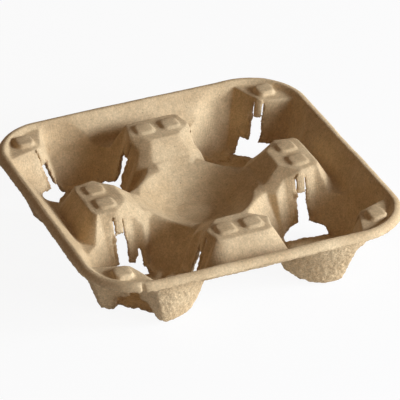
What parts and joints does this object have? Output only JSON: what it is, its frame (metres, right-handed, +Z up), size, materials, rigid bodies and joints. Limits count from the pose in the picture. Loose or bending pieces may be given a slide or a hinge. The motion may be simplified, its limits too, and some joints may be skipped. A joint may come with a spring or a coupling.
{
  "type": "cup carrier",
  "caption": "Square moulded pulp drinks tray with tapered cup pockets, a round centre well and a rolled rim.",
  "frame": {"origin": "middle of the tray on the surface that its feet stand on", "axes": "+Z up out of the pockets, +X and +Y along the tray's sides"},
  "size_m": [0.216, 0.216, 0.046],
  "materials": {
    "pulp": "matte"
  },
  "bodies": {
    "root": {"cup_carrier": "pulp"}
  },
  "joints": []
}
